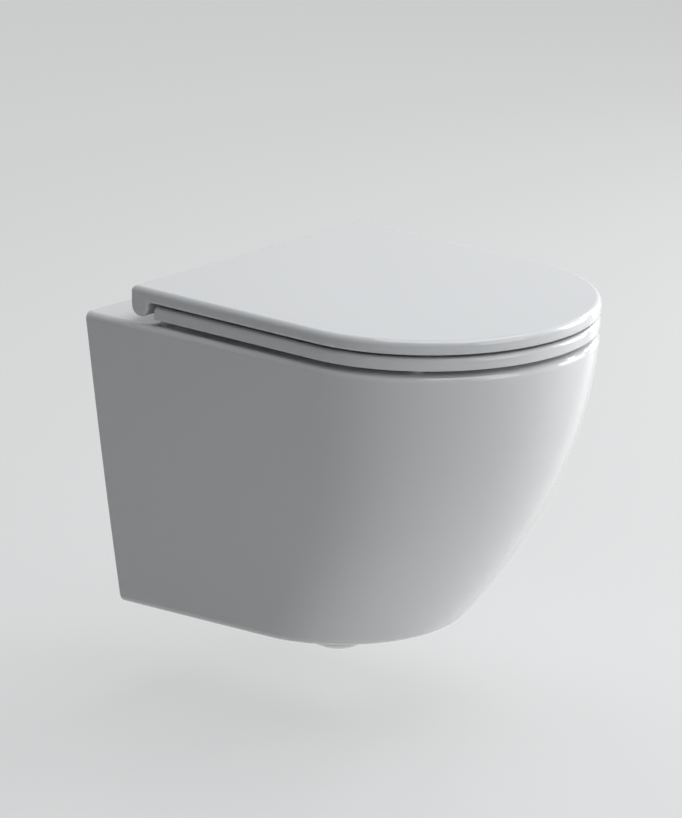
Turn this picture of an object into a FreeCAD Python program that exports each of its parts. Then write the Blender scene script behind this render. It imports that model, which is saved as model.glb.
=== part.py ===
import FreeCAD, Part
import Sketcher
import math
import os

# Wall hung toilet: a glazed ceramic pan that hangs on two wall studs, with a soft-close seat and lid.
# Frame: millimetres, +Z up. The wall is the plane Y = 0, the pan stands out towards -Y, and +X is on
# the right of somebody who faces the wall. The origin is midway between the two wall fixings.
# "Depth" is a distance below the rim, and "reach" is a distance from the wall, towards -Y.

DRIVING_SIZES = {
    # ceramic casting, outside
    "rim_height": 80.0,
    "body_height": 330.0,
    "body_reach": 490.2,
    "front_lean": 24.0,
    "front_curve": 147.0,
    "wall_half_width": 187.5,
    "foot_half_width": 137.0,
    "front_radius": 180.7,
    "foot_radius": 127.0,
    "side_swell": 1.6,
    "rim_edge_round": 8.0,
    "foot_edge_round": 10.0,
    # ceramic casting, inside
    "shell_wall": 12.0,
    "deck_wall": 14.0,
    "rear_wall": 14.0,
    "foot_flange": 12.0,
    "recess_start": 60.0,
    "recess_half_width": 90.0,
    "recess_reach": 292.0,
    "bowl_wall": 10.0,
    "bowl_start": 128.0,
    "bowl_centre_gap": 60.0,
    "bowl_radius": 132.0,
    "sump_start": 136.0,
    "sump_centre_gap": 6.0,
    "sump_radius": 45.0,
    "sump_round": 38.0,
    # waste way and flush way
    "waste_drop": 100.0,
    "spigot_radius": 51.0,
    "spigot_bore": 43.0,
    "spigot_length": 20.0,
    "spigot_root": 46.0,
    "trap_radius": 33.0,
    "trap_bend": 60.0,
    "trap_turn_reach": 152.0,
    "trap_drop": 146.0,
    "flush_rise": 35.0,
    "flush_socket": 27.5,
    "flush_socket_depth": 40.0,
    "flush_way": 20.0,
    "seal_length": 34.0,
    "flush_pipe": 45.0,
    # wall fixings
    "fixing_spacing": 180.0,
    "stud_shank": 12.0,
    "stud_thread": 11.7,
    "stud_out": 60.0,
    "stud_in": 46.0,
    "fixing_hole": 20.0,
    "fixing_pad": 22.0,
    "fixing_pad_radius": 24.0,
    "sleeve_setback": 2.0,
    "sleeve_flange": 34.0,
    "sleeve_flange_thickness": 3.0,
    "washer_width": 24.0,
    "washer_thickness": 2.5,
    "nut_flats": 19.0,
    "nut_height": 10.0,
    # lid and seat
    "cover_start": 57.0,
    "cover_overhang": 1.8,
    "cover_inset": 1.7,
    "cover_top": 38.0,
    "lid_band": 15.1,
    "lid_plate": 5.0,
    "lid_skin": 5.0,
    "rear_skin": 4.0,
    "lid_top_round": 6.0,
    "lid_foot_round": 0.8,
    "lid_corner_round": 3.8,
    "ear_width": 22.0,
    "ear_radius": 12.0,
    "ear_drop": 32.0,
    "ear_fillet": 4.2,
    "rear_skirt_drop": 26.5,
    "skirt_gap": 2.0,
    "seat_inset": 1.0,
    "seat_gap": 6.0,
    "seat_band": 14.0,
    "seat_start": 87.5,
    "seat_rear_step": 7.5,
    "seat_step_half_width": 132.0,
    "seat_top_round": 5.0,
    "seat_foot_round": 2.0,
    "seat_corner_round": 5.0,
    "seat_hole_start": 166.0,
    "seat_hole_reach": 440.0,
    "seat_hole_radius": 112.0,
    "seat_hole_round": 6.0,
    "buffer_radius": 7.0,
    "buffer_inset": 9.5,
    "front_buffer_inset": 22.0,
    "front_buffer_angle": 37.0,
    "buffer_boss_radius": 8.5,
    "buffer_boss_drop": 8.0,
    # hinges
    "pivot_rise": 21.5,
    "hinge_spacing": 155.0,
    "hinge_hole_reach": 101.0,
    "hinge_hole": 14.0,
    "hinge_arm_width": 14.0,
    "hinge_eye_radius": 10.0,
    "hinge_column_start": 82.0,
    "hinge_column_end": 91.0,
    "hinge_shoulder_round": 7.0,
    "hinge_foot_radius": 19.0,
    "hinge_foot_thickness": 3.0,
    "gasket_thickness": 1.0,
    "hinge_pin": 8.0,
    "knuckle_length": 34.0,
    "knuckle_bore": 13.0,
    "hinge_bolt": 6.0,
    "hinge_bolt_head": 12.0,
    "hinge_bolt_length": 42.0,
    "plug_drop": 16.0,
    "hinge_nut_height": 6.0,
    "hinge_nut_width": 13.0,
    # clearances
    "side_play": 0.8,
    "pin_play": 0.05,
    "fit_play": 0.1,
    "rest_gap": 0.25,
}

# Shares of the wall's height at which the casting's outline is drawn, the angles from flat to
# upright at which the roll of its rim and foot is drawn, and the number of steps down the bowl.
WALL_SHARES = (0.0, 0.25, 0.5, 0.75, 1.0)
ROLL_ANGLES = (0.0, 18.0, 36.0, 54.0, 72.0, 90.0)
BOWL_STEPS = 12


class Size:
    """A number that also knows the spreadsheet expression it comes from."""

    def __init__(self, value, text):
        self.value = float(value)
        self.text = text

    @staticmethod
    def of(other):
        return other if isinstance(other, Size) else Size(other, repr(float(other)))

    def _join(self, other, sign, result):
        other = Size.of(other)
        return Size(result(self.value, other.value), f"({self.text} {sign} {other.text})")

    def __add__(self, other):
        return self._join(other, "+", lambda a, b: a + b)

    def __sub__(self, other):
        return self._join(other, "-", lambda a, b: a - b)

    def __mul__(self, other):
        return self._join(other, "*", lambda a, b: a * b)

    def __truediv__(self, other):
        return self._join(other, "/", lambda a, b: a / b)

    def __neg__(self):
        return self * -1

    def __radd__(self, other):
        return Size.of(other) + self

    def __rsub__(self, other):
        return Size.of(other) - self

    def __rmul__(self, other):
        return Size.of(other) * self


class Sizes:
    """The driving sizes, kept in the document's spreadsheet and read by name."""

    def __init__(self, document):
        self.sheet = document.addObject("Spreadsheet::Sheet", "Sizes")
        for row, (name, value) in enumerate(DRIVING_SIZES.items(), start=1):
            self.sheet.set(f"A{row}", name)
            self.sheet.set(f"B{row}", str(value))
            self.sheet.setAlias(f"B{row}", name)
        document.recompute()

    def __getattr__(self, name):
        return Size(getattr(self.sheet, name), f"Sizes.{name}")


doc = FreeCAD.newDocument("wall_hung_toilet")
S = Sizes(doc)
ZERO = Size.of(0)

# How far a cutter, or the root of a joined piece, runs past the face that it meets.
OVERLAP = Size.of(1)

# Levels above the origin, and the hinge line, shared by every piece.
RIM = S.rim_height
FOOT = S.rim_height - S.body_height
COVER_TOP = RIM + S.cover_top
LID_FOOT = COVER_TOP - S.lid_band
LID_CEILING = COVER_TOP - S.lid_plate
SEAT_FOOT = RIM + S.seat_gap
SEAT_TOP = SEAT_FOOT + S.seat_band
PIVOT_LEVEL = RIM + S.pivot_rise
PIVOT_REACH = S.cover_start + S.ear_radius
WASTE_LEVEL = -S.waste_drop
SUMP_LEVEL = WASTE_LEVEL - S.trap_drop
SUMP_FLOOR = SUMP_LEVEL - S.trap_radius
FLUSH_LEVEL = S.flush_rise
COVER_HALF_WIDTH = S.front_radius - S.cover_inset
COVER_REACH = S.body_reach + S.cover_overhang
SEAT_HALF_WIDTH = COVER_HALF_WIDTH - S.seat_inset
SEAT_REACH = COVER_REACH - S.seat_inset
HINGE_CENTRE = S.hinge_spacing / 2
KNUCKLE_OFFSET = S.hinge_arm_width / 2 + S.side_play + S.knuckle_length / 2
SIDES = {"left": -1, "right": 1}


# ---- drawing helpers ----

def bind(thing, path, size):
    """Tie one property of an object to a size."""
    thing.setExpression(path, Size.of(size).text)


def new_body(name):
    """Start a body that becomes one sub-part."""
    body = doc.addObject("PartDesign::Body", name)
    body.Label = name
    return body


def origin_plane(body, role):
    """Return one of a body's own origin planes."""
    return next(plane for plane in body.Origin.OriginFeatures if plane.Role == role)


def sketch_on(body, name, role, offset=ZERO):
    """Start a sketch on an origin plane, moved along the plane's normal."""
    sketch = body.newObject("Sketcher::SketchObject", name)
    sketch.AttachmentSupport = [(origin_plane(body, role), "")]
    sketch.MapMode = "FlatFace"
    bind(sketch, "AttachmentOffset.Base.z", offset)
    return sketch


def fix(sketch, kind, *arguments):
    """Add a dimension whose last argument is the size that drives it."""
    size = Size.of(arguments[-1])
    index = sketch.addConstraint(Sketcher.Constraint(kind, *arguments[:-1], size.value))
    sketch.setExpression(f"Constraints[{index}]", size.text)


def relate(sketch, kind, *arguments):
    """Add a constraint that has no dimension."""
    sketch.addConstraint(Sketcher.Constraint(kind, *arguments))


def point(x, y):
    return FreeCAD.Vector(Size.of(x).value, Size.of(y).value, 0)


def line(sketch, start, end):
    return sketch.addGeometry(Part.LineSegment(start, end), False)


def arc(sketch, centre, radius, start_degrees, end_degrees):
    circle = Part.Circle(centre, FreeCAD.Vector(0, 0, 1), Size.of(radius).value)
    start = math.radians(start_degrees)
    end = math.radians(end_degrees)
    return sketch.addGeometry(Part.ArcOfCircle(circle, start, end), False)


def draw_circle(sketch, x, y, radius):
    """Draw a circle whose centre and radius are tied to sizes."""
    shape = Part.Circle(point(x, y), FreeCAD.Vector(0, 0, 1), Size.of(radius).value)
    circle = sketch.addGeometry(shape, False)
    fix(sketch, "DistanceX", circle, 3, x)
    fix(sketch, "DistanceY", circle, 3, y)
    fix(sketch, "Radius", circle, radius)


def draw_polygon(sketch, corners):
    """Draw a closed polygon with both coordinates of each corner tied to sizes."""
    places = [point(x, y) for x, y in corners]
    lines = [line(sketch, places[i], places[(i + 1) % len(places)]) for i in range(len(places))]
    for index, (x, y) in enumerate(corners):
        relate(sketch, "Coincident", lines[index - 1], 2, lines[index], 1)
        fix(sketch, "DistanceX", lines[index], 1, x)
        fix(sketch, "DistanceY", lines[index], 1, y)


def draw_rectangle(sketch, low_x, low_y, high_x, high_y):
    draw_polygon(sketch, [(low_x, low_y), (high_x, low_y), (high_x, high_y), (low_x, high_y)])


def draw_d_outline(sketch, start, half_width, radius, reach):
    """Draw a plan outline with a straight back, two long sides and a round front."""
    centre = radius - reach
    bow = arc(sketch, point(0, centre), radius, 180, 360)
    left = line(sketch, point(-half_width, -start), point(-radius, centre))
    right = line(sketch, point(radius, centre), point(half_width, -start))
    back = line(sketch, point(half_width, -start), point(-half_width, -start))
    relate(sketch, "Coincident", back, 2, left, 1)
    relate(sketch, "Coincident", right, 2, back, 1)
    relate(sketch, "Tangent", left, 2, bow, 1)
    relate(sketch, "Tangent", bow, 2, right, 1)
    relate(sketch, "PointOnObject", bow, 3, -2)
    relate(sketch, "Symmetric", back, 1, back, 2, -2)
    fix(sketch, "DistanceY", bow, 3, centre)
    fix(sketch, "Radius", bow, radius)
    fix(sketch, "DistanceY", back, 1, -start)
    fix(sketch, "Distance", back, half_width * 2)


def draw_egg_outline(sketch, start, reach, back_radius, front_radius):
    """Draw a plan outline with a round back and a round front joined by straight sides."""
    back_centre = -start - back_radius
    front_centre = front_radius - reach
    front = arc(sketch, point(0, front_centre), front_radius, 180, 360)
    back = arc(sketch, point(0, back_centre), back_radius, 0, 180)
    right = line(sketch, point(front_radius, front_centre), point(back_radius, back_centre))
    left = line(sketch, point(-back_radius, back_centre), point(-front_radius, front_centre))
    relate(sketch, "Tangent", front, 2, right, 1)
    relate(sketch, "Tangent", right, 2, back, 1)
    relate(sketch, "Tangent", back, 2, left, 1)
    relate(sketch, "Tangent", left, 2, front, 1)
    relate(sketch, "PointOnObject", front, 3, -2)
    relate(sketch, "PointOnObject", back, 3, -2)
    fix(sketch, "DistanceY", front, 3, front_centre)
    fix(sketch, "DistanceY", back, 3, back_centre)
    fix(sketch, "Radius", front, front_radius)
    fix(sketch, "Radius", back, back_radius)


def extrude(body, kind, name, sketch, length, midplane=False, backwards=False):
    """Pad or pocket a sketch by a length, to one side or to both."""
    feature = body.newObject(kind, name)
    feature.Profile = sketch
    bind(feature, "Length", length)
    feature.SideType = "Symmetric" if midplane else "One side"
    feature.Reversed = backwards
    doc.recompute()
    return feature


def pad(body, name, sketch, length, midplane=False, backwards=False):
    return extrude(body, "PartDesign::Pad", name, sketch, length, midplane, backwards)


def pocket(body, name, sketch, length, midplane=False, backwards=False):
    return extrude(body, "PartDesign::Pocket", name, sketch, length, midplane, backwards)


def loft(body, kind, name, sketches, ruled=False):
    """Join sketches in order, by one smooth surface or by narrow straight bands."""
    feature = body.newObject(kind, name)
    feature.Profile = sketches[0]
    feature.Sections = sketches[1:]
    feature.Ruled = ruled
    doc.recompute()
    return feature


def sweep(body, kind, name, profile, path):
    """Run a profile along a path sketch."""
    feature = body.newObject(kind, name)
    feature.Profile = profile
    feature.Spine = path
    doc.recompute()
    return feature


def fillet(body, name, chosen, radius):
    """Round the edges of the body's last feature that the chosen test accepts."""
    base = body.Tip
    names = [f"Edge{i}" for i, edge in enumerate(base.Shape.Edges, start=1) if chosen(edge)]
    feature = body.newObject("PartDesign::Fillet", name)
    feature.Base = (base, names)
    bind(feature, "Radius", radius)
    doc.recompute()
    return feature


def lies_at_level(edge, level):
    """Tell whether an edge lies flat at one height."""
    box = edge.BoundBox
    return abs(box.ZMin - level.value) < 0.01 and abs(box.ZMax - level.value) < 0.01


def lies_at_reach(edge, reach):
    """Tell whether an edge lies in the plane at one distance from the wall."""
    box = edge.BoundBox
    return abs(box.YMin + reach.value) < 0.01 and abs(box.YMax + reach.value) < 0.01


def stands_upright(edge):
    """Tell whether an edge is a straight vertical one."""
    box = edge.BoundBox
    return box.XLength < 0.01 and box.YLength < 0.01 and box.ZLength > 1


# ---- primitive helpers, for turned and stamped pieces ----

AXIS_TURN = {
    "X": FreeCAD.Rotation(FreeCAD.Vector(0, 1, 0), 90),
    "Y": FreeCAD.Rotation(FreeCAD.Vector(1, 0, 0), -90),
    "Z": FreeCAD.Rotation(),
}


def place(thing, x, y, z, axis="Z"):
    """Put a primitive's base point at a place and point its axis along +X, +Y or +Z."""
    thing.Placement = FreeCAD.Placement(FreeCAD.Vector(), AXIS_TURN[axis])
    bind(thing, "Placement.Base.x", x)
    bind(thing, "Placement.Base.y", y)
    bind(thing, "Placement.Base.z", z)
    return thing


def cylinder(name, radius, length, x, y, z, axis="Z"):
    thing = doc.addObject("Part::Cylinder", name)
    bind(thing, "Radius", radius)
    bind(thing, "Height", length)
    return place(thing, x, y, z, axis)


def cone(name, low_radius, high_radius, length, x, y, z):
    thing = doc.addObject("Part::Cone", name)
    bind(thing, "Radius1", low_radius)
    bind(thing, "Radius2", high_radius)
    bind(thing, "Height", length)
    return place(thing, x, y, z)


def hexagon(name, flats, length, x, y, z, axis):
    thing = doc.addObject("Part::Prism", name)
    thing.Polygon = 6
    bind(thing, "Circumradius", flats / math.sqrt(3))
    bind(thing, "Height", length)
    return place(thing, x, y, z, axis)


def fuse(name, parts):
    thing = doc.addObject("Part::MultiFuse", name)
    thing.Shapes = parts
    return thing


def cut(name, base, tool):
    thing = doc.addObject("Part::Cut", name)
    thing.Base = base
    thing.Tool = tool
    return thing


def compound(name, parts):
    """Group identical fasteners that share one node."""
    thing = doc.addObject("Part::Compound", name)
    thing.Links = parts
    return thing


def tube(name, radius, bore, length, x, y, z, axis):
    """Make a plain sleeve."""
    outside = cylinder(name + "_outside", radius, length, x, y, z, axis)
    inside = cylinder(name + "_bore", bore, length, x, y, z, axis)
    return cut(name, outside, inside)


def low_end(side, centre, length):
    """Return the lower X end of a piece that lies beside a mirrored centre."""
    return side * centre - length / 2


# ---- ceramic pan ----

def body_section(depth, inset):
    """Return the half width at the wall, the front radius and the reach of the casting at a depth."""
    share = depth / S.body_height
    swell = S.side_swell * 4 * share * (1 - share)
    half_width = S.wall_half_width - (S.wall_half_width - S.foot_half_width) * share + swell - inset
    radius = S.front_radius - (S.front_radius - S.foot_radius) * share + swell - inset
    reach = S.body_reach - S.front_lean * share - S.front_curve * share * share - inset
    return half_width, radius, reach


def wall_levels(top, foot, inset):
    """List the depth and inset of each outline of a wall between two depths."""
    return [(top + (foot - top) * share, inset) for share in WALL_SHARES]


def roll_levels(edge_depth, radius, inward):
    """List the depth and inset of each outline of a rolled edge, from its flat face to the wall."""
    levels = []
    for angle in ROLL_ANGLES:
        rise = 1 - math.cos(math.radians(angle))
        run = 1 - math.sin(math.radians(angle))
        levels.append((edge_depth + radius * rise * inward, radius * run))
    return levels


def skirt_sketches(body, name, levels, start):
    """Draw the casting's plan outline at each depth and inset."""
    sketches = []
    for index, (depth, inset) in enumerate(levels):
        sketch = sketch_on(body, f"{name}_{index}", "XY_Plane", RIM - depth)
        half_width, radius, reach = body_section(depth, inset)
        draw_d_outline(sketch, start, half_width, radius, reach)
        sketches.append(sketch)
    return sketches


def bowl_sketches(body, name, top_level, floor_level, wall):
    """Draw the bowl's plan outlines from the rim down to the sump and round its dished floor."""
    floor_round = S.sump_round + wall
    levels = []
    for index in range(BOWL_STEPS + 1):
        fall = index / BOWL_STEPS
        level = top_level - (top_level - floor_level - floor_round) * fall
        levels.append((level, math.sin(fall * math.pi / 2) ** 2, -wall))
    for angle in ROLL_ANGLES[1:]:
        rise = 1 - math.sin(math.radians(angle))
        run = 1 - math.cos(math.radians(angle))
        levels.append((floor_level + floor_round * rise, 1.0, floor_round * run - wall))

    sketches = []
    for index, (level, closing, inset) in enumerate(levels):
        sketch = sketch_on(body, f"{name}_{index}", "XY_Plane", level)
        start = S.bowl_start + (S.sump_start - S.bowl_start) * closing + inset
        radius = S.bowl_radius + (S.sump_radius - S.bowl_radius) * closing - inset
        centre_gap = S.bowl_centre_gap + (S.sump_centre_gap - S.bowl_centre_gap) * closing
        draw_egg_outline(sketch, start, start + radius * 2 + centre_gap, radius, radius)
        sketches.append(sketch)
    return sketches


def trap_path(body, name, start_reach, end_reach):
    """Draw the waste way: back from the sump, up over the weir and out through the wall."""
    sketch = sketch_on(body, name, "YZ_Plane")
    bend = S.trap_bend
    rise_reach = S.trap_turn_reach - bend
    foot = line(sketch, point(-start_reach, SUMP_LEVEL), point(-S.trap_turn_reach, SUMP_LEVEL))
    up_turn = arc(sketch, point(-S.trap_turn_reach, SUMP_LEVEL + bend), bend, 270, 360)
    rise = line(sketch, point(-rise_reach, SUMP_LEVEL + bend), point(-rise_reach, WASTE_LEVEL - bend))
    over_turn = arc(sketch, point(bend - rise_reach, WASTE_LEVEL - bend), bend, 90, 180)
    way_out = line(sketch, point(bend - rise_reach, WASTE_LEVEL), point(-end_reach, WASTE_LEVEL))
    relate(sketch, "Tangent", foot, 2, up_turn, 1)
    relate(sketch, "Tangent", up_turn, 2, rise, 1)
    relate(sketch, "Tangent", rise, 2, over_turn, 2)
    relate(sketch, "Tangent", over_turn, 1, way_out, 1)
    relate(sketch, "Horizontal", foot)
    relate(sketch, "Vertical", rise)
    relate(sketch, "Horizontal", way_out)
    fix(sketch, "DistanceX", foot, 1, -start_reach)
    fix(sketch, "DistanceY", foot, 1, SUMP_LEVEL)
    fix(sketch, "DistanceX", way_out, 2, -end_reach)
    fix(sketch, "DistanceY", way_out, 2, WASTE_LEVEL)
    fix(sketch, "DistanceX", up_turn, 3, -S.trap_turn_reach)
    fix(sketch, "Radius", up_turn, bend)
    fix(sketch, "Radius", over_turn, bend)
    return sketch


def trap(body, kind, name, radius, end_reach):
    """Run a round section along the waste way."""
    start_reach = S.sump_start + S.sump_radius + S.sump_centre_gap / 2
    path = trap_path(body, name + "_path", start_reach, end_reach)
    profile = sketch_on(body, name + "_section", "XZ_Plane", start_reach)
    draw_circle(profile, 0, SUMP_LEVEL, radius)
    doc.recompute()
    return sweep(body, kind, name, profile, path)


def wall_boss(body, name, x, z, radius, length):
    """Add a round boss on the inner side of the rear wall."""
    sketch = sketch_on(body, name + "_circle", "XZ_Plane")
    draw_circle(sketch, x, z, radius)
    return pad(body, name, sketch, length)


def wall_hole(body, name, x, z, radius, deepest, outermost=ZERO):
    """Bore a round hole that runs from outside the rear wall to a reach inside the pan."""
    sketch = sketch_on(body, name + "_circle", "XZ_Plane", deepest)
    draw_circle(sketch, x, z, radius)
    return pocket(body, name, sketch, deepest + outermost + OVERLAP)


def make_pan():
    """Build the pan: one casting with its shroud, deck, bowl, trap, spigot and flush way."""
    body = new_body("pan")
    wall = wall_levels(S.rim_edge_round, S.body_height - S.foot_edge_round, ZERO)
    loft(body, "PartDesign::AdditiveLoft", "shroud",
         skirt_sketches(body, "shroud_outline", wall, -OVERLAP))
    rim_roll = roll_levels(ZERO, S.rim_edge_round, 1)
    loft(body, "PartDesign::AdditiveLoft", "rim_roll",
         skirt_sketches(body, "rim_outline", rim_roll, -OVERLAP), ruled=True)
    foot_roll = roll_levels(S.body_height, S.foot_edge_round, -1)
    loft(body, "PartDesign::AdditiveLoft", "foot_roll",
         skirt_sketches(body, "foot_outline", foot_roll, -OVERLAP), ruled=True)
    back = sketch_on(body, "back_face_outline", "XZ_Plane")
    draw_rectangle(back, -S.wall_half_width, FOOT - OVERLAP, S.wall_half_width, RIM + OVERLAP)
    pocket(body, "back_face", back, OVERLAP * 2)
    inner = wall_levels(S.deck_wall, S.body_height - S.foot_flange, S.shell_wall)
    loft(body, "PartDesign::SubtractiveLoft", "hollow",
         skirt_sketches(body, "hollow_outline", inner, S.rear_wall))
    recess = sketch_on(body, "recess_outline", "XY_Plane", FOOT)
    draw_d_outline(recess, S.recess_start, S.recess_half_width, S.recess_half_width, S.recess_reach)
    pocket(body, "recess", recess, S.foot_flange * 3, midplane=True)

    outside = bowl_sketches(body, "bowl_outside_outline", RIM - S.deck_wall / 2,
                            SUMP_FLOOR - S.bowl_wall, S.bowl_wall)
    loft(body, "PartDesign::AdditiveLoft", "bowl_outside", outside, ruled=True)
    trap(body, "PartDesign::AdditivePipe", "trap_outside", S.trap_radius + S.bowl_wall, ZERO)
    spigot = sketch_on(body, "spigot_circle", "XZ_Plane", -S.spigot_length)
    draw_circle(spigot, 0, WASTE_LEVEL, S.spigot_radius)
    pad(body, "spigot", spigot, S.spigot_length + S.spigot_root)
    wall_boss(body, "flush_duct", 0, FLUSH_LEVEL, S.flush_socket + S.bowl_wall, S.bowl_start)
    for name, side in SIDES.items():
        wall_boss(body, f"fixing_pad_{name}", side * S.fixing_spacing / 2, 0,
                  S.fixing_pad_radius, S.fixing_pad)

    inside = bowl_sketches(body, "bowl_inside_outline", RIM, SUMP_FLOOR, ZERO)
    loft(body, "PartDesign::SubtractiveLoft", "bowl_inside", inside, ruled=True)
    trap(body, "PartDesign::SubtractivePipe", "trap_way", S.trap_radius, ZERO)
    wall_hole(body, "spigot_way", 0, WASTE_LEVEL, S.spigot_bore, S.spigot_root - S.bowl_wall,
              S.spigot_length)
    wall_hole(body, "flush_socket", 0, FLUSH_LEVEL, S.flush_socket, S.flush_socket_depth)
    wall_hole(body, "flush_way", 0, FLUSH_LEVEL, S.flush_way, S.bowl_start + S.bowl_wall)
    for name, side in SIDES.items():
        wall_hole(body, f"fixing_hole_{name}", side * S.fixing_spacing / 2, 0,
                  S.fixing_hole / 2, S.fixing_pad + OVERLAP)
        hinge_hole = sketch_on(body, f"hinge_hole_{name}_circle", "XY_Plane", RIM)
        draw_circle(hinge_hole, side * HINGE_CENTRE, -S.hinge_hole_reach, S.hinge_hole / 2)
        pocket(body, f"hinge_hole_{name}", hinge_hole, S.deck_wall * 3, midplane=True)
    return body


# ---- wall fixings and flush seal ----

def make_fixings():
    """Build the studs, sleeves, washers and nuts that hold the pan to the wall.

    A stud's shank is as wide as its thread's crests, and its inner end as its rolled diameter.
    """
    centres = [side * S.fixing_spacing / 2 for side in SIDES.values()]
    shank = S.stud_shank / 2
    thread = S.stud_thread / 2
    sleeve_radius = S.fixing_hole / 2 - S.fit_play
    washer_face = S.fixing_pad + S.sleeve_flange_thickness
    nut_face = washer_face + S.washer_thickness
    studs, sleeves, washers, nuts = [], [], [], []
    for index, x in enumerate(centres):
        outer = cylinder(f"stud_shank_{index}", shank, S.stud_out + OVERLAP, x, -OVERLAP, 0, "Y")
        inner = cylinder(f"stud_thread_{index}", thread, S.stud_in, x, -S.stud_in, 0, "Y")
        studs.append(fuse(f"stud_{index}", [outer, inner]))
        barrel = cylinder(f"sleeve_barrel_{index}", sleeve_radius, S.fixing_pad - S.sleeve_setback,
                          x, -S.fixing_pad, 0, "Y")
        flange = cylinder(f"sleeve_flange_{index}", S.sleeve_flange / 2, S.sleeve_flange_thickness,
                          x, -washer_face, 0, "Y")
        sleeve = fuse(f"sleeve_solid_{index}", [barrel, flange])
        bore = cylinder(f"sleeve_bore_{index}", thread + S.fit_play, washer_face, x, -washer_face, 0, "Y")
        sleeves.append(cut(f"sleeve_{index}", sleeve, bore))
        washers.append(tube(f"washer_{index}", S.washer_width / 2, thread + S.fit_play,
                            S.washer_thickness, x, -nut_face, 0, "Y"))
        nut = hexagon(f"nut_solid_{index}", S.nut_flats, S.nut_height, x, -nut_face - S.nut_height, 0, "Y")
        hole = cylinder(f"nut_bore_{index}", thread + S.pin_play, S.nut_height,
                        x, -nut_face - S.nut_height, 0, "Y")
        nuts.append(cut(f"nut_{index}", nut, hole))
    return [compound("wall_studs", studs), compound("stud_sleeves", sleeves),
            compound("stud_washers", washers), compound("stud_nuts", nuts)]


def make_flush_seal():
    """Build the rubber seal that lines the flush socket and grips the flush pipe."""
    return tube("flush_seal", S.flush_socket - S.fit_play, S.flush_pipe / 2 + S.fit_play,
                S.seal_length, ZERO, -S.seal_length, FLUSH_LEVEL, "Y")


# ---- hinges ----

def make_hinge_arm(name, side):
    """Build one cranked hinge arm: a foot on the deck, a column and an eye on the hinge line."""
    body = new_body(name)
    x = side * HINGE_CENTRE
    foot_level = RIM + S.gasket_thickness
    foot_sketch = sketch_on(body, name + "_foot_circle", "XY_Plane", foot_level)
    draw_circle(foot_sketch, x, -S.hinge_hole_reach, S.hinge_foot_radius)
    pad(body, name + "_foot", foot_sketch, S.hinge_foot_thickness)
    column = sketch_on(body, name + "_column_outline", "YZ_Plane", x)
    shoulder = PIVOT_LEVEL - S.hinge_eye_radius
    draw_polygon(column, [
        (-S.hinge_column_start, foot_level), (-S.hinge_column_end, foot_level),
        (-S.hinge_column_end, PIVOT_LEVEL + S.hinge_eye_radius),
        (-PIVOT_REACH, PIVOT_LEVEL + S.hinge_eye_radius),
        (-PIVOT_REACH, shoulder), (-S.hinge_column_start, shoulder)])
    pad(body, name + "_column", column, S.hinge_arm_width, midplane=True)
    eye = sketch_on(body, name + "_eye_circle", "YZ_Plane", x)
    draw_circle(eye, -PIVOT_REACH, PIVOT_LEVEL, S.hinge_eye_radius)
    pad(body, name + "_eye", eye, S.hinge_arm_width, midplane=True)
    front_top = PIVOT_LEVEL + S.hinge_eye_radius
    fillet(body, name + "_shoulder_round",
           lambda edge: lies_at_level(edge, front_top) and lies_at_reach(edge, S.hinge_column_end),
           S.hinge_shoulder_round)
    bore = sketch_on(body, name + "_bore_circle", "YZ_Plane", x)
    draw_circle(bore, -PIVOT_REACH, PIVOT_LEVEL, S.hinge_pin / 2 + S.pin_play)
    pocket(body, name + "_bore", bore, S.hinge_arm_width * 2, midplane=True)
    hole = sketch_on(body, name + "_hole_circle", "XY_Plane", foot_level)
    draw_circle(hole, x, -S.hinge_hole_reach, S.hinge_bolt / 2 + S.fit_play)
    pocket(body, name + "_hole", hole, S.hinge_foot_thickness * 4, midplane=True)
    sink_screw(body, name, foot_level + S.hinge_foot_thickness)
    return body


def sink_screw(body, name, top):
    """Chamfer the screw hole's upper edge so that the screw head sits flush."""
    base = body.Tip
    radius = (S.hinge_bolt / 2 + S.fit_play).value
    names = []
    for index, edge in enumerate(base.Shape.Edges, start=1):
        round_edge = isinstance(edge.Curve, Part.Circle) and abs(edge.Curve.Radius - radius) < 0.01
        if round_edge and lies_at_level(edge, top):
            names.append(f"Edge{index}")
    feature = body.newObject("PartDesign::Chamfer", name + "_countersink")
    feature.Base = (base, names)
    bind(feature, "Size", (S.hinge_bolt_head - S.hinge_bolt) / 2 - S.fit_play)
    doc.recompute()


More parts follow.
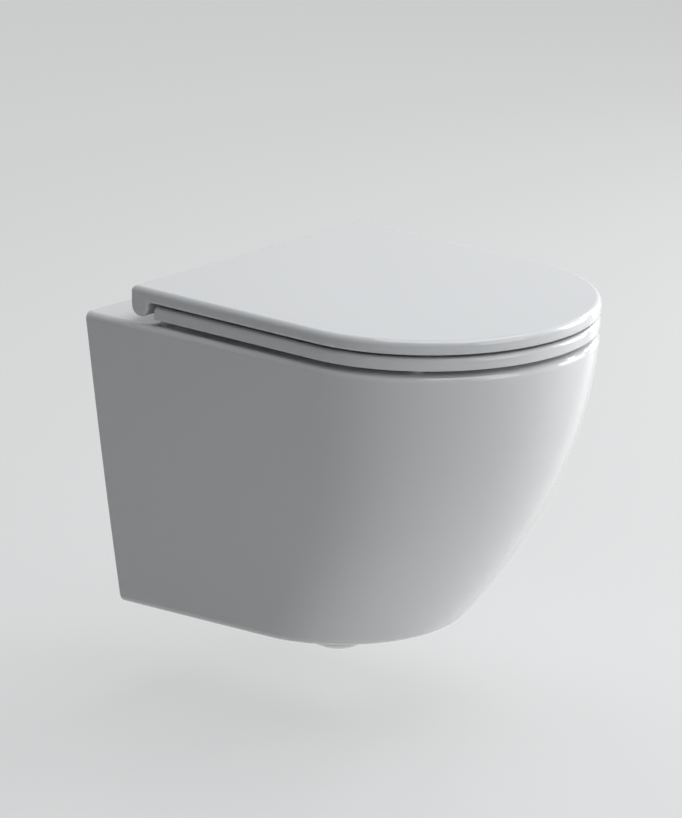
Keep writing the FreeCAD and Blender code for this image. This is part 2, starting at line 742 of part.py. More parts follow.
def make_hinge_hardware(name, side):
    """Build what holds and turns on one hinge arm: gasket, screw, plug, nut and pin."""
    x = side * HINGE_CENTRE
    y = -S.hinge_hole_reach
    foot_top = RIM + S.gasket_thickness + S.hinge_foot_thickness
    plug_foot = RIM - S.deck_wall - S.plug_drop
    hole = S.hinge_bolt / 2 + S.fit_play
    gasket = tube(f"hinge_gasket_{name}", S.hinge_foot_radius, hole, S.gasket_thickness, x, y, RIM, "Z")
    head_height = (S.hinge_bolt_head - S.hinge_bolt) / 2
    head = cone(f"bolt_head_{name}", S.hinge_bolt / 2, S.hinge_bolt_head / 2 - S.fit_play,
                head_height - S.fit_play, x, y, foot_top - head_height + S.fit_play)
    shank = cylinder(f"bolt_shank_{name}", S.hinge_bolt / 2, S.hinge_bolt_length,
                     x, y, foot_top - S.hinge_bolt_length)
    bolt = fuse(f"hinge_bolt_{name}", [head, shank])
    plug = tube(f"hinge_plug_{name}", S.hinge_hole / 2 - S.fit_play, hole,
                S.deck_wall + S.plug_drop, x, y, plug_foot, "Z")
    nut_body = hexagon(f"hinge_nut_body_{name}", S.hinge_nut_width, S.hinge_nut_height,
                       x, y, plug_foot - S.hinge_nut_height, "Z")
    nut_bore = cylinder(f"hinge_nut_bore_{name}", S.hinge_bolt / 2 + S.pin_play, S.hinge_nut_height,
                        x, y, plug_foot - S.hinge_nut_height)
    nut = cut(f"hinge_nut_{name}", nut_body, nut_bore)
    pin_length = (KNUCKLE_OFFSET + S.knuckle_length / 2) * 2
    pin = cylinder(f"hinge_pin_{name}", S.hinge_pin / 2, pin_length,
                   low_end(side, HINGE_CENTRE, pin_length), -PIVOT_REACH, PIVOT_LEVEL, "X")
    return [gasket, bolt, plug, nut, pin]


def make_insert(name, centre):
    """Build a sleeve that fills one knuckle's bore and turns on the hinge pin."""
    length = S.knuckle_length
    return tube(name, S.knuckle_bore / 2 - S.pin_play, S.hinge_pin / 2 + S.pin_play, length,
                centre - length / 2, -PIVOT_REACH, PIVOT_LEVEL, "X")


def add_knuckle(body, name, centre, front_reach, arm_foot, arm_top):
    """Add one knuckle: a barrel on the hinge line and the web that carries it."""
    barrel = sketch_on(body, name + "_circle", "YZ_Plane", centre)
    draw_circle(barrel, -PIVOT_REACH, PIVOT_LEVEL, S.hinge_eye_radius)
    pad(body, name, barrel, S.knuckle_length, midplane=True)
    web = sketch_on(body, name + "_web_outline", "YZ_Plane", centre)
    back = PIVOT_REACH - (S.hinge_eye_radius if front_reach is None else ZERO)
    front = PIVOT_REACH + S.hinge_eye_radius if front_reach is None else front_reach
    draw_rectangle(web, -front, arm_foot, -back, arm_top)
    pad(body, name + "_web", web, S.knuckle_length, midplane=True)


def bore_knuckles(body, name, centres):
    """Bore the knuckles along the hinge line."""
    for index, centre in enumerate(centres):
        bore = sketch_on(body, f"{name}_circle_{index}", "YZ_Plane", centre)
        draw_circle(bore, -PIVOT_REACH, PIVOT_LEVEL, S.knuckle_bore / 2)
        pocket(body, f"{name}_{index}", bore, S.knuckle_length + OVERLAP, midplane=True)


# ---- seat and lid ----

def buffer_places():
    """Return the plan places of the seat's and the lid's buffers, front and rear on each side."""
    ring = COVER_HALF_WIDTH - S.front_buffer_inset
    angle = math.radians(S.front_buffer_angle.value)
    front_y = COVER_HALF_WIDTH - COVER_REACH - ring * math.sin(angle)
    rear_side = COVER_HALF_WIDTH - S.buffer_inset - S.seat_corner_round
    return {"front": (ring * math.cos(angle), front_y),
            "rear": (rear_side, -S.seat_start - S.buffer_inset)}


def make_seat():
    """Build the seat ring with its rear bar and two knuckles."""
    body = new_body("seat")
    outline = sketch_on(body, "seat_outline", "XY_Plane", SEAT_FOOT)
    draw_d_outline(outline, S.seat_start, SEAT_HALF_WIDTH, SEAT_HALF_WIDTH, SEAT_REACH)
    pad(body, "seat_slab", outline, S.seat_band)
    fillet(body, "seat_corners", stands_upright, S.seat_corner_round)
    hole = sketch_on(body, "seat_hole_outline", "XY_Plane", SEAT_FOOT)
    draw_egg_outline(hole, S.seat_hole_start, S.seat_hole_reach, S.seat_hole_radius, S.seat_hole_radius)
    pocket(body, "seat_hole", hole, S.seat_band * 3, midplane=True)
    step = sketch_on(body, "seat_step_outline", "XY_Plane", SEAT_FOOT)
    step_end = S.seat_start + S.seat_rear_step
    draw_rectangle(step, -S.seat_step_half_width, -step_end, S.seat_step_half_width, OVERLAP - S.seat_start)
    pocket(body, "seat_step", step, S.seat_band * 3, midplane=True)

    def outside_top(edge):
        box = edge.BoundBox
        inside = (max(box.XMax, -box.XMin) < (S.seat_hole_radius + OVERLAP).value
                  and box.YMin > -(S.seat_hole_reach + OVERLAP).value
                  and box.YMax < -(step_end + OVERLAP).value)
        return lies_at_level(edge, SEAT_TOP) and not inside

    fillet(body, "seat_hole_edge",
           lambda edge: lies_at_level(edge, SEAT_TOP) and not outside_top(edge), S.seat_hole_round)
    fillet(body, "seat_top_edge", outside_top, S.seat_top_round)
    fillet(body, "seat_foot_edge", lambda edge: lies_at_level(edge, SEAT_FOOT), S.seat_foot_round)
    centres = [side * (HINGE_CENTRE - KNUCKLE_OFFSET) for side in SIDES.values()]
    web_foot = PIVOT_LEVEL - S.hinge_eye_radius
    for name, centre in zip(SIDES, centres):
        add_knuckle(body, f"seat_knuckle_{name}", centre, step_end + S.seat_top_round * 2,
                    web_foot, SEAT_TOP - OVERLAP)
    bore_knuckles(body, "seat_bore", centres)
    return body


def draw_ear(sketch):
    """Draw the hooked end of the lid's rear edge: a round toe with a small fillet in front."""
    radius = S.ear_radius
    toe_level = COVER_TOP - S.ear_drop + radius
    top_level = LID_FOOT + S.lid_plate
    back = S.cover_start
    front = back + radius * 2
    fillet_level = LID_FOOT - S.ear_fillet
    toe = arc(sketch, point(-back - radius, toe_level), radius, 180, 360)
    rear = line(sketch, point(-back, toe_level), point(-back, top_level))
    roof = line(sketch, point(-back, top_level), point(-front - S.ear_fillet, top_level))
    drop = line(sketch, point(-front - S.ear_fillet, top_level), point(-front - S.ear_fillet, LID_FOOT))
    hollow = arc(sketch, point(-front - S.ear_fillet, fillet_level), S.ear_fillet, 0, 90)
    face = line(sketch, point(-front, fillet_level), point(-front, toe_level))
    relate(sketch, "Tangent", toe, 2, rear, 1)
    relate(sketch, "Coincident", rear, 2, roof, 1)
    relate(sketch, "Coincident", roof, 2, drop, 1)
    relate(sketch, "Coincident", drop, 2, hollow, 2)
    relate(sketch, "Tangent", hollow, 1, face, 1)
    relate(sketch, "Tangent", face, 2, toe, 1)
    relate(sketch, "Vertical", rear)
    relate(sketch, "Horizontal", roof)
    relate(sketch, "Vertical", drop)
    relate(sketch, "Vertical", face)
    relate(sketch, "Vertical", hollow, 3, hollow, 2)
    fix(sketch, "DistanceX", toe, 3, -back - radius)
    fix(sketch, "DistanceY", toe, 3, toe_level)
    fix(sketch, "Radius", toe, radius)
    fix(sketch, "Radius", hollow, S.ear_fillet)
    fix(sketch, "DistanceY", hollow, 3, fillet_level)
    fix(sketch, "DistanceY", roof, 1, top_level)


def make_lid():
    """Build the lid: a shallow shell with hooked rear ends, a rear skirt and two knuckles."""
    body = new_body("lid")
    outline = sketch_on(body, "lid_outline", "XY_Plane", LID_FOOT)
    draw_d_outline(outline, S.cover_start, COVER_HALF_WIDTH, COVER_HALF_WIDTH, COVER_REACH)
    pad(body, "lid_slab", outline, S.lid_band)
    for name, side in SIDES.items():
        ear = sketch_on(body, f"ear_outline_{name}", "YZ_Plane",
                        side * (COVER_HALF_WIDTH - S.ear_width / 2))
        draw_ear(ear)
        pad(body, f"ear_{name}", ear, S.ear_width, midplane=True)
    fillet(body, "lid_corners",
           lambda edge: stands_upright(edge) and lies_at_reach(edge, S.cover_start)
           and abs(edge.BoundBox.XMin) > (COVER_HALF_WIDTH - OVERLAP).value, S.lid_corner_round)
    fillet(body, "lid_top_edge", lambda edge: lies_at_level(edge, COVER_TOP), S.lid_top_round)
    fillet(body, "lid_foot_edge",
           lambda edge: lies_at_level(edge, LID_FOOT) and edge.BoundBox.YLength > S.lid_band.value,
           S.lid_foot_round)

    hollow = sketch_on(body, "lid_hollow_outline", "XY_Plane", LID_FOOT)
    inner = COVER_HALF_WIDTH - S.lid_skin
    hollow_start = S.cover_start + S.ear_radius * 2
    draw_d_outline(hollow, hollow_start, inner, inner, COVER_REACH - S.lid_skin)
    pocket(body, "lid_hollow", hollow, (S.lid_band - S.lid_plate) * 2, midplane=True)
    rear_hollow = sketch_on(body, "rear_hollow_outline", "XY_Plane", LID_FOOT)
    rear_half = COVER_HALF_WIDTH - S.ear_width
    draw_rectangle(rear_hollow, -rear_half, -hollow_start - OVERLAP,
                   rear_half, -S.cover_start - S.rear_skin)
    pocket(body, "rear_hollow", rear_hollow, (S.lid_band - S.lid_plate) * 2, midplane=True)

    arm_side = S.hinge_arm_width / 2 + S.side_play / 2
    seat_side = KNUCKLE_OFFSET + S.knuckle_length / 2 + S.side_play
    for name, side in SIDES.items():
        near = side * (HINGE_CENTRE - seat_side)
        far = side * (HINGE_CENTRE + arm_side)
        window = sketch_on(body, f"hinge_window_outline_{name}", "XY_Plane", LID_FOOT)
        draw_rectangle(window, near, -hollow_start - OVERLAP, far, OVERLAP - S.cover_start)
        pocket(body, f"hinge_window_{name}", window, (S.lid_band - S.lid_plate) * 2, midplane=True)

    knuckle_span = KNUCKLE_OFFSET + S.knuckle_length / 2 + S.skirt_gap
    skirt_outer = HINGE_CENTRE + knuckle_span
    skirt_inner = HINGE_CENTRE - knuckle_span
    skirt_foot = COVER_TOP - S.rear_skirt_drop
    spans = {"middle": (-skirt_inner, skirt_inner), "left": (-rear_half, -skirt_outer),
             "right": (skirt_outer, rear_half)}
    for name, (low, high) in spans.items():
        skirt = sketch_on(body, f"rear_skirt_outline_{name}", "XY_Plane", skirt_foot)
        draw_rectangle(skirt, low, -S.cover_start - S.rear_skin, high, -S.cover_start)
        pad(body, f"rear_skirt_{name}", skirt, LID_FOOT - skirt_foot + OVERLAP)
    centres = [side * (HINGE_CENTRE + KNUCKLE_OFFSET) for side in SIDES.values()]
    for name, centre in zip(SIDES, centres):
        add_knuckle(body, f"lid_knuckle_{name}", centre, None, PIVOT_LEVEL, LID_CEILING + OVERLAP)
    bore_knuckles(body, "lid_bore", centres)
    boss_foot = LID_CEILING - S.buffer_boss_drop
    bosses = sketch_on(body, "buffer_boss_circles", "XY_Plane", boss_foot)
    for x, y in buffer_places().values():
        for side in SIDES.values():
            draw_circle(bosses, side * (x - S.buffer_boss_radius), y, S.buffer_boss_radius)
    pad(body, "buffer_bosses", bosses, S.buffer_boss_drop + OVERLAP)
    return body


def make_buffers():
    """Build the soft buffers: four under the seat and four under the lid."""
    buffers = []
    boss_foot = LID_CEILING - S.buffer_boss_drop
    for end, (x, y) in buffer_places().items():
        for name, side in SIDES.items():
            buffers.append(cylinder(f"seat_buffer_{end}_{name}", S.buffer_radius,
                                    S.seat_gap - S.rest_gap, side * x, y, RIM + S.rest_gap))
            lid_x = side * (x - S.buffer_boss_radius)
            buffers.append(cylinder(f"lid_buffer_{end}_{name}", S.buffer_radius,
                                    boss_foot - SEAT_TOP - S.rest_gap, lid_x, y, SEAT_TOP + S.rest_gap))
    return buffers


def make_all():
    """Build every sub-part and return them in order."""
    parts = [make_pan()]
    parts += make_fixings()
    parts.append(make_flush_seal())
    for name, side in SIDES.items():
        parts.append(make_hinge_arm(f"hinge_arm_{name}", side))
        parts += make_hinge_hardware(name, side)
    parts.append(make_seat())
    parts.append(make_lid())
    parts.append(make_insert("seat_damper", -(HINGE_CENTRE - KNUCKLE_OFFSET)))
    parts.append(make_insert("seat_bush", HINGE_CENTRE - KNUCKLE_OFFSET))
    parts.append(make_insert("lid_damper", HINGE_CENTRE + KNUCKLE_OFFSET))
    parts.append(make_insert("lid_bush", -(HINGE_CENTRE + KNUCKLE_OFFSET)))
    parts += make_buffers()
    return parts


def write(parts):
    """Check every object of the document and write each sub-part to its own file."""
    doc.recompute()
    failed = [thing.Name for thing in doc.Objects if {"Invalid", "Error"} & set(thing.State)]
    if failed:
        raise RuntimeError(f"objects that failed: {failed}")
    os.makedirs("parts", exist_ok=True)
    for part in parts:
        shape = part.Shape
        if shape.isNull() or not shape.isValid():
            raise RuntimeError(f"{part.Label} has no valid shape")
        shape.exportStep(os.path.join("parts", part.Label + ".step"))
        box = shape.BoundBox
        print(f"{part.Label}: {len(shape.Solids)} solids, {shape.Volume / 1000:.1f} cm3, "
              f"Y {box.YMin:.1f}..{box.YMax:.1f} Z {box.ZMin:.1f}..{box.ZMax:.1f}")


write(make_all())
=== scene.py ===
"""Wall hung toilet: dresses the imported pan, seat, lid and hinges, and sets the studio round them."""

import logging
import math
from dataclasses import dataclass
from enum import Enum

import bpy
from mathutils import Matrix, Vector


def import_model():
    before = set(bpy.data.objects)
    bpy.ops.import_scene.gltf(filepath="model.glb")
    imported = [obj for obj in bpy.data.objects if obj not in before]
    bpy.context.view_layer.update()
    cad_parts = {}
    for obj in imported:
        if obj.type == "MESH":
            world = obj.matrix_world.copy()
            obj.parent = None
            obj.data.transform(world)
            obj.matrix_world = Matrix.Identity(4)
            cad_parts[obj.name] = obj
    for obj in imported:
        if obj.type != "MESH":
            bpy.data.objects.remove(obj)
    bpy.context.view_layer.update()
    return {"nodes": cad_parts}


LOG = logging.getLogger("toilet")

Colour = tuple[float, float, float, float]


def grey(value: float, warmth: float = 0.0) -> Colour:
    """Return a near-neutral linear colour.

    Args:
        value: the middle channel, from 0 to 1.
        warmth: how much red gains and blue loses.

    Returns:
        The colour with an alpha of 1.
    """
    return (value + warmth, value, value - warmth, 1.0)


# ---- shared surface effects ----

class Effect(Enum):
    """The node groups that more than one finish uses."""

    DRIFT = "tone_drift"
    RIPPLE = "surface_ripple"
    SCUFF = "fine_scuff"


class Socket(Enum):
    """The kinds of socket that the node groups have."""

    NUMBER = "NodeSocketFloat"
    COLOUR = "NodeSocketColor"
    VECTOR = "NodeSocketVector"


class Blend(Enum):
    """What a mix node blends."""

    COLOURS = "RGBA"
    NUMBERS = "FLOAT"


@dataclass(frozen=True)
class Grain:
    """How fine and how rough one noise pattern is."""

    detail: float
    roughness: float = 0.5


@dataclass(frozen=True)
class GroupEnds:
    """A new node group with the nodes that every effect starts from."""

    tree: bpy.types.NodeTree
    source: bpy.types.Node
    sink: bpy.types.Node
    place: bpy.types.NodeSocket


class EffectLibrary:
    """Builds each shared node group once and places it in materials."""

    PATCHES = Grain(detail=3.0, roughness=0.45)
    LONG_WAVES = Grain(detail=1.0)
    PEEL = Grain(detail=2.0)
    STREAKS = Grain(detail=5.0, roughness=0.6)

    def __init__(self) -> None:
        """Start with no group built."""
        self._builders = {Effect.DRIFT: self._drift, Effect.RIPPLE: self._ripple, Effect.SCUFF: self._scuff}
        self._groups: dict[Effect, bpy.types.NodeTree] = {}

    def place(self, nodes: bpy.types.Nodes, effect: Effect, values: dict[str, object]) -> bpy.types.Node:
        """Place one effect's group in a material with its own values.

        Args:
            nodes: the material's nodes.
            effect: the effect to place, built on first use.
            values: input name to value.

        Returns:
            The group node.
        """
        if effect not in self._groups:
            self._groups[effect] = self._builders[effect]()
        node = nodes.new("ShaderNodeGroup")
        node.node_tree = self._groups[effect]
        for name, value in values.items():
            node.inputs[name].default_value = value
        return node

    @staticmethod
    def _open(effect: Effect, inputs: dict[str, Socket], output: str, kind: Socket) -> GroupEnds:
        """Make an empty group with named sockets.

        Args:
            effect: the effect that the group is for.
            inputs: socket name to kind of socket.
            output: the name of what the group puts out.
            kind: the kind of what the group puts out.

        Returns:
            The group, its two end nodes and the object's own coordinates.
        """
        tree = bpy.data.node_groups.new(effect.value, "ShaderNodeTree")
        for name, socket in inputs.items():
            tree.interface.new_socket(name, in_out="INPUT", socket_type=socket.value)
        tree.interface.new_socket(output, in_out="OUTPUT", socket_type=kind.value)
        source = tree.nodes.new("NodeGroupInput")
        sink = tree.nodes.new("NodeGroupOutput")
        coordinates = tree.nodes.new("ShaderNodeTexCoord")
        return GroupEnds(tree, source, sink, coordinates.outputs["Object"])

    @staticmethod
    def _noise(ends: GroupEnds, place: bpy.types.NodeSocket, scale: str,
               grain: Grain) -> bpy.types.NodeSocket:
        """Add a noise pattern to a group.

        Args:
            ends: the group.
            place: the coordinates that the pattern follows.
            scale: the group's input that gives the pattern's scale.
            grain: how fine and how rough the pattern is.

        Returns:
            The socket with the pattern's strength, from 0 to 1.
        """
        noise = ends.tree.nodes.new("ShaderNodeTexNoise")
        noise.inputs["Detail"].default_value = grain.detail
        noise.inputs["Roughness"].default_value = grain.roughness
        ends.tree.links.new(place, noise.inputs["Vector"])
        ends.tree.links.new(ends.source.outputs[scale], noise.inputs["Scale"])
        return noise.outputs["Fac"]

    @staticmethod
    def _blend(ends: GroupEnds, kind: Blend, share: bpy.types.NodeSocket, low: str, high: str,
               output: str) -> None:
        """Mix two of a group's inputs and put the result out.

        Args:
            ends: the group.
            kind: what the two inputs are.
            share: the socket that says how much of the high input shows.
            low: the input that shows at a share of 0.
            high: the input that shows at a share of 1.
            output: the group's output.
        """
        mix = ends.tree.nodes.new("ShaderNodeMix")
        mix.data_type = kind.value
        links = ends.tree.links
        links.new(share, mix.inputs["Factor"])
        links.new(ends.source.outputs[low], mix.inputs["A"])
        links.new(ends.source.outputs[high], mix.inputs["B"])
        links.new(mix.outputs["Result"], ends.sink.inputs[output])

    def _drift(self) -> bpy.types.NodeTree:
        """Build slow patches of tone between two colours, as in fired glaze or moulded resin.

        Returns:
            The group, which puts out a colour.
        """
        ends = self._open(Effect.DRIFT,
                          {"Light": Socket.COLOUR, "Deep": Socket.COLOUR, "Scale": Socket.NUMBER},
                          "Color", Socket.COLOUR)
        patches = self._noise(ends, ends.place, "Scale", self.PATCHES)
        self._blend(ends, Blend.COLOURS, patches, "Light", "Deep", "Color")
        return ends.tree

    def _ripple(self) -> bpy.types.NodeTree:
        """Build a height with long waves and fine peel, as on poured or moulded gloss.

        Returns:
            The group, which puts out a height.
        """
        ends = self._open(Effect.RIPPLE,
                          {"Wave Scale": Socket.NUMBER, "Peel Scale": Socket.NUMBER,
                           "Peel Share": Socket.NUMBER},
                          "Height", Socket.NUMBER)
        waves = self._noise(ends, ends.place, "Wave Scale", self.LONG_WAVES)
        peel = self._noise(ends, ends.place, "Peel Scale", self.PEEL)
        nodes, links = ends.tree.nodes, ends.tree.links
        scaled = nodes.new("ShaderNodeMath")
        scaled.operation = "MULTIPLY"
        total = nodes.new("ShaderNodeMath")
        total.operation = "ADD"
        links.new(peel, scaled.inputs[0])
        links.new(ends.source.outputs["Peel Share"], scaled.inputs[1])
        links.new(waves, total.inputs[0])
        links.new(scaled.outputs["Value"], total.inputs[1])
        links.new(total.outputs["Value"], ends.sink.inputs["Height"])
        return ends.tree

    def _scuff(self) -> bpy.types.NodeTree:
        """Build a roughness that varies between two values with fine rubbed streaks.

        Returns:
            The group, which puts out a roughness.
        """
        ends = self._open(Effect.SCUFF,
                          {"Smooth": Socket.NUMBER, "Rubbed": Socket.NUMBER, "Scale": Socket.NUMBER,
                           "Stretch": Socket.VECTOR},
                          "Roughness", Socket.NUMBER)
        stretched = ends.tree.nodes.new("ShaderNodeVectorMath")
        stretched.operation = "MULTIPLY"
        ends.tree.links.new(ends.place, stretched.inputs[0])
        ends.tree.links.new(ends.source.outputs["Stretch"], stretched.inputs[1])
        streaks = self._noise(ends, stretched.outputs["Vector"], "Scale", self.STREAKS)
        self._blend(ends, Blend.NUMBERS, streaks, "Smooth", "Rubbed", "Roughness")
        return ends.tree


# ---- finishes ----

@dataclass(frozen=True)
class Finish:
    """One finish: its tones, gloss and relief, and what its shader holds constant.

    Scales are patterns to the metre, and relief and subsurface_scale are in metres.
    """

    name: str
    light: Colour
    deep: Colour
    smooth: float
    rubbed: float
    drift_scale: float = 6.0
    scuff_scale: float = 40.0
    stretch: tuple[float, float, float] = (1.0, 1.0, 1.0)
    wave_scale: float = 12.0
    peel_scale: float = 300.0
    peel_share: float = 0.2
    relief: float = 0.00005
    metallic: float = 0.0
    ior: float = 1.5
    coat: float = 0.0
    coat_roughness: float = 0.03
    subsurface: float = 0.0
    subsurface_scale: float = 0.002

    def material(self, effects: EffectLibrary) -> bpy.types.Material:
        """Build the finish's material.

        Args:
            effects: the shared node groups.

        Returns:
            The material.
        """
        material = bpy.data.materials.new(self.name)
        material.use_nodes = True
        nodes, links = material.node_tree.nodes, material.node_tree.links
        shader = nodes["Principled BSDF"]
        constants = {"Metallic": self.metallic, "IOR": self.ior, "Coat Weight": self.coat,
                     "Coat Roughness": self.coat_roughness, "Subsurface Weight": self.subsurface,
                     "Subsurface Scale": self.subsurface_scale}
        for name, value in constants.items():
            shader.inputs[name].default_value = value
        tone = effects.place(nodes, Effect.DRIFT,
                             {"Light": self.light, "Deep": self.deep, "Scale": self.drift_scale})
        scuff = effects.place(nodes, Effect.SCUFF,
                              {"Smooth": self.smooth, "Rubbed": self.rubbed, "Scale": self.scuff_scale,
                               "Stretch": self.stretch})
        ripple = effects.place(nodes, Effect.RIPPLE,
                               {"Wave Scale": self.wave_scale, "Peel Scale": self.peel_scale,
                                "Peel Share": self.peel_share})
        bump = nodes.new("ShaderNodeBump")
        bump.inputs["Distance"].default_value = self.relief
        links.new(ripple.outputs["Height"], bump.inputs["Height"])
        links.new(bump.outputs["Normal"], shader.inputs["Normal"])
        links.new(tone.outputs["Color"], shader.inputs["Base Color"])
        links.new(scuff.outputs["Roughness"], shader.inputs["Roughness"])
        return material


GLAZE = Finish("white_glaze", light=grey(0.80, -0.004), deep=grey(0.77, -0.003), smooth=0.06, rubbed=0.12,
               drift_scale=5.0, wave_scale=9.0, peel_scale=240.0, peel_share=0.06, relief=0.00012, coat=0.4)
DUROPLAST = Finish("white_duroplast", light=grey(0.80, -0.012), deep=grey(0.78, -0.011), smooth=0.09,
                   rubbed=0.16, drift_scale=4.0, wave_scale=14.0, peel_scale=420.0, peel_share=0.08,
                   relief=0.00006, coat=0.25)
SOFT_PAD = Finish("pale_rubber", light=grey(0.66, 0.004), deep=grey(0.58, 0.006), smooth=0.42, rubbed=0.55,
                  drift_scale=60.0, relief=0.0001, subsurface=0.3)
BLACK_SEAL = Finish("black_rubber", light=grey(0.022), deep=grey(0.035), smooth=0.5, rubbed=0.7,
                    drift_scale=50.0, relief=0.0002)
POLISHED = Finish("polished_hinge_metal", light=grey(0.66), deep=grey(0.58), smooth=0.08, rubbed=0.2,
                  stretch=(1.0, 8.0, 1.0), relief=0.00002, metallic=1.0)
ZINC = Finish("zinc_plate", light=grey(0.56, 0.008), deep=grey(0.44, 0.012), smooth=0.28, rubbed=0.48,
              drift_scale=80.0, stretch=(1.0, 10.0, 10.0), relief=0.00004, metallic=1.0)
NYLON = Finish("white_nylon", light=grey(0.62, 0.01), deep=grey(0.55, 0.012), smooth=0.45, rubbed=0.6,
               drift_scale=50.0)
ACETAL = Finish("grey_acetal", light=grey(0.12), deep=grey(0.09), smooth=0.35, rubbed=0.5,
                drift_scale=50.0)


class Wardrobe:
    """Makes each finish once and puts it on nodes."""

    def __init__(self, nodes: dict[str, bpy.types.Object]) -> None:
        """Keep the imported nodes.

        Args:
            nodes: node name to object.
        """
        self._nodes = nodes
        self._effects = EffectLibrary()
        self._made: dict[str, bpy.types.Material] = {}

    def _material(self, finish: Finish) -> bpy.types.Material:
        """Return a finish's material, made on first use.

        Args:
            finish: the finish wanted.

        Returns:
            The material.
        """
        if finish.name not in self._made:
            self._made[finish.name] = finish.material(self._effects)
        return self._made[finish.name]

    def dress(self, name: str, finish: Finish, crease: float = 30.0) -> None:
        """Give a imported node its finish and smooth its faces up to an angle.

        Args:
            name: the node's name.
            finish: its finish.
            crease: the angle in degrees above which an edge stays sharp.
        """
        mesh = self._nodes[name].data
        mesh.materials.clear()
        mesh.materials.append(self._material(finish))
        mesh.shade_smooth()
        mesh.set_sharp_from_angle(angle=math.radians(crease))
        LOG.info("%s wears %s", name, finish.name)


# ---- sub-assemblies ----

SIDES = ("left", "right")


@dataclass
class Pan:
    """The ceramic casting and the pieces that stay with it at the wall."""

    crease: float = 24.0
    steel: tuple[str, ...] = ("wall_studs", "stud_washers", "stud_nuts")

    def build(self, wardrobe: Wardrobe) -> None:
        """Dress the casting, its wall fixings and its flush seal.

        Args:
            wardrobe: where finishes come from.
        """
        wardrobe.dress("pan", GLAZE, self.crease)
        wardrobe.dress("flush_seal", BLACK_SEAL)
        wardrobe.dress("stud_sleeves", NYLON)
        for name in self.steel:
            wardrobe.dress(name, ZINC)


@dataclass
class Hinges:
    """The two cranked hinge arms with their screws, plugs, pins, dampers and bushes."""

    metal: tuple[str, ...] = ("hinge_arm", "hinge_bolt", "hinge_pin")
    inserts: tuple[str, ...] = ("seat_damper", "seat_bush", "lid_damper", "lid_bush")

    def build(self, wardrobe: Wardrobe) -> None:
        """Dress every hinge piece.

        Args:
            wardrobe: where finishes come from.
        """
        for side in SIDES:
            for name in self.metal:
                wardrobe.dress(f"{name}_{side}", POLISHED)
            wardrobe.dress(f"hinge_gasket_{side}", SOFT_PAD)
            wardrobe.dress(f"hinge_plug_{side}", BLACK_SEAL)
            wardrobe.dress(f"hinge_nut_{side}", ZINC)
        for name in self.inserts:
            wardrobe.dress(name, ACETAL)


@dataclass
class Cover:
    """The seat and lid with their soft buffers."""

    crease: float = 24.0
    covers: tuple[str, ...] = ("seat", "lid")
    ends: tuple[str, ...] = ("front", "rear")

    def build(self, wardrobe: Wardrobe) -> None:
        """Dress seat, lid and buffers.

        Args:
            wardrobe: where finishes come from.
        """
        for name in self.covers:
            wardrobe.dress(name, DUROPLAST, self.crease)
            for end in self.ends:
                for side in SIDES:
                    wardrobe.dress(f"{name}_buffer_{end}_{side}", SOFT_PAD)


# ---- studio ----

@dataclass
class SoftBox:
    """One rectangular studio lamp. Lengths are in metres and power is in watts."""

    name: str
    place: tuple[float, float, float]
    width: float
    height: float
    power: float
    tint: tuple[float, float, float] = (1.0, 1.0, 1.0)
    aim: tuple[float, float, float] = (0.0, -0.25, -0.05)

    def build(self) -> None:
        """Hang the lamp and turn it to its aim."""
        data = bpy.data.lights.new(self.name, "AREA")
        data.shape = "RECTANGLE"
        data.size = self.width
        data.size_y = self.height
        data.energy = self.power
        data.color = self.tint
        lamp = bpy.data.objects.new(self.name, data)
        bpy.context.scene.collection.objects.link(lamp)
        lamp.location = self.place
        lamp.rotation_euler = (Vector(self.aim) - Vector(self.place)).to_track_quat("-Z", "Y").to_euler()


@dataclass
class Camera:
    """The camera at the photograph's angle.

    Angles are in degrees and lengths in metres. The object's centre shows right of the picture's
    middle by across_pixels and above it by up_pixels. The sensor's width is in millimetres.
    """

    azimuth: float = -47.78383
    elevation: float = 16.21634
    centre: tuple[float, float, float] = (0.0, -0.245, -0.027)
    distance: float = 8.5036
    pixels_per_metre: float = 956.71
    across_pixels: float = 38.63547
    up_pixels: float = -8.22142
    long_side_pixels: float = 818.0
    sensor_width: float = 36.0
    clip_distances: float = 10.0

    def build(self) -> None:
        """Place the camera and aim it."""
        turn, tilt = math.radians(self.azimuth), math.radians(self.elevation)
        back = Vector((math.sin(turn) * math.cos(tilt), -math.cos(turn) * math.cos(tilt), math.sin(tilt)))
        right = Vector((math.cos(turn), math.sin(turn), 0.0))
        rise = back.cross(right)
        data = bpy.data.cameras.new("camera")
        data.sensor_width = self.sensor_width
        data.lens = self.pixels_per_metre * self.distance * self.sensor_width / self.long_side_pixels
        data.clip_end = self.distance * self.clip_distances
        camera = bpy.data.objects.new("camera", data)
        bpy.context.scene.collection.objects.link(camera)
        camera.location = (Vector(self.centre) + back * self.distance
                           - right * (self.across_pixels / self.pixels_per_metre)
                           - rise * (self.up_pixels / self.pixels_per_metre))
        camera.rotation_euler = back.to_track_quat("Z", "Y").to_euler()
        bpy.context.scene.camera = camera


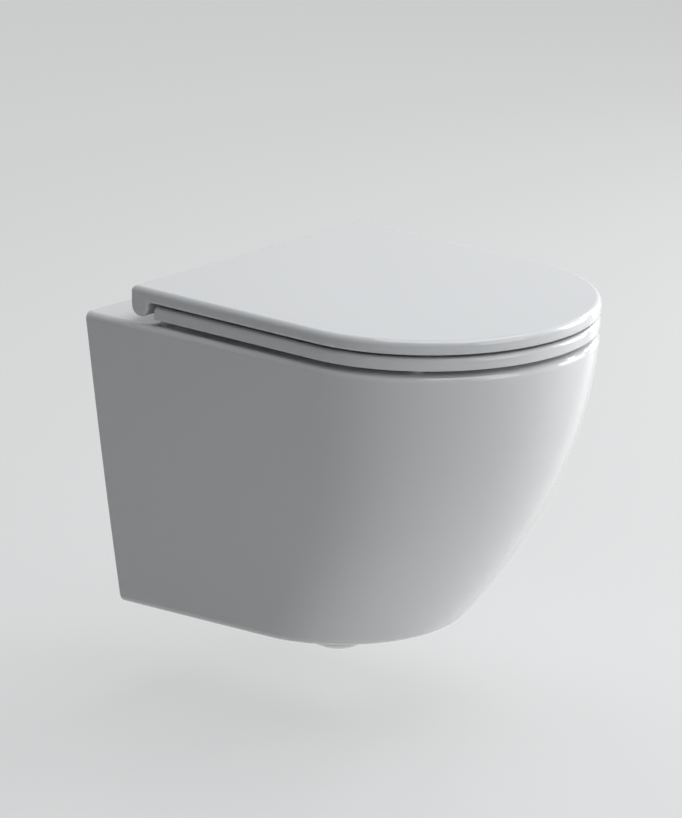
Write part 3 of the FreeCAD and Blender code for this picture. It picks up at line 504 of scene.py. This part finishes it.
@dataclass
class Studio:
    """A pale floor, soft lamps, an even world and the camera."""

    floor_level: float = -0.347
    floor_size: float = 30.0
    floor_colour: Colour = grey(0.68, -0.002)
    floor_roughness: float = 0.4
    backdrop: Colour = grey(0.80, -0.004)
    backdrop_share: float = 0.62
    backdrop_strength: float = 1.0
    world_light: float = 0.08
    lamps: tuple[SoftBox, ...] = (
        SoftBox("top_box", place=(0.2, -0.7, 2.3), width=2.2, height=2.2, power=35.5,
                tint=(0.95, 0.975, 1.0)),
        SoftBox("flank_box", place=(2.4, -1.6, 0.7), width=1.3, height=1.8, power=42.0),
        SoftBox("edge_box", place=(2.6, -0.1, 0.6), width=0.8, height=1.8, power=34.0),
        SoftBox("bow_box", place=(0.0, -3.2, 0.7), width=1.6, height=1.4, power=16.0),
    )

    def build(self) -> None:
        """Build the floor, the world, the lamps and the camera."""
        self._floor()
        self._world()
        for lamp in self.lamps:
            lamp.build()
        Camera().build()
        bpy.context.scene.view_settings.view_transform = "Standard"

    def _floor(self) -> None:
        """Lay the floor below the hanging pan."""
        half = self.floor_size / 2
        corners = [(-half, -half), (half, -half), (half, half), (-half, half)]
        mesh = bpy.data.meshes.new("floor")
        mesh.from_pydata([(x, y, self.floor_level) for x, y in corners], [], [(0, 1, 2, 3)])
        mesh.materials.append(self._floor_paint())
        floor = bpy.data.objects.new("floor", mesh)
        bpy.context.scene.collection.objects.link(floor)

    def _floor_paint(self) -> bpy.types.Material:
        """Build the floor's paint, which looks partly like the backdrop and still takes shadows.

        Returns:
            The material.
        """
        material = bpy.data.materials.new("floor_paint")
        material.use_nodes = True
        nodes, links = material.node_tree.nodes, material.node_tree.links
        shader = nodes["Principled BSDF"]
        shader.inputs["Base Color"].default_value = self.floor_colour
        shader.inputs["Roughness"].default_value = self.floor_roughness
        shown = nodes.new("ShaderNodeEmission")
        shown.inputs["Color"].default_value = self.backdrop
        share = nodes.new("ShaderNodeMath")
        share.operation = "MULTIPLY"
        share.inputs[1].default_value = self.backdrop_share
        mix = nodes.new("ShaderNodeMixShader")
        links.new(self._seen(nodes, links), share.inputs[0])
        links.new(share.outputs["Value"], mix.inputs["Fac"])
        links.new(shader.outputs["BSDF"], mix.inputs[1])
        links.new(shown.outputs["Emission"], mix.inputs[2])
        links.new(mix.outputs["Shader"], nodes["Material Output"].inputs["Surface"])
        return material

    @staticmethod
    def _seen(nodes: bpy.types.Nodes, links: bpy.types.NodeLinks) -> bpy.types.NodeSocket:
        """Tell rays that look at a surface, directly or by reflection, from rays that light.

        Args:
            nodes: the tree's nodes.
            links: the tree's links.

        Returns:
            A socket that is 1 for camera, glossy and transmission rays and 0 for others.
        """
        path = nodes.new("ShaderNodeLightPath")
        sight = path.outputs["Is Camera Ray"]
        for label in ("Is Glossy Ray", "Is Transmission Ray"):
            either = nodes.new("ShaderNodeMath")
            either.operation = "MAXIMUM"
            links.new(sight, either.inputs[0])
            links.new(path.outputs[label], either.inputs[1])
            sight = either.outputs["Value"]
        return sight

    def _world(self) -> None:
        """Light the scene evenly and show a pale background to the camera and to reflections."""
        world = bpy.data.worlds.new("studio")
        bpy.context.scene.world = world
        world.use_nodes = True
        nodes, links = world.node_tree.nodes, world.node_tree.links
        nodes.clear()
        output = nodes.new("ShaderNodeOutputWorld")
        mix = nodes.new("ShaderNodeMixShader")
        light = nodes.new("ShaderNodeBackground")
        shown = nodes.new("ShaderNodeBackground")
        for background, strength in ((light, self.world_light), (shown, self.backdrop_strength)):
            background.inputs["Color"].default_value = self.backdrop
            background.inputs["Strength"].default_value = strength
        links.new(self._seen(nodes, links), mix.inputs["Fac"])
        links.new(light.outputs["Background"], mix.inputs[1])
        links.new(shown.outputs["Background"], mix.inputs[2])
        links.new(mix.outputs["Shader"], output.inputs["Surface"])


def main() -> None:
    """Load the frame, dress each sub-assembly and set the studio."""
    logging.basicConfig(level=logging.INFO, format="%(name)s: %(message)s")
    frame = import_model()
    wardrobe = Wardrobe(frame["nodes"])
    for assembly in (Pan(), Hinges(), Cover()):
        assembly.build(wardrobe)
        LOG.info("%s is dressed", type(assembly).__name__)
    Studio().build()


if __name__ == "__main__":
    main()
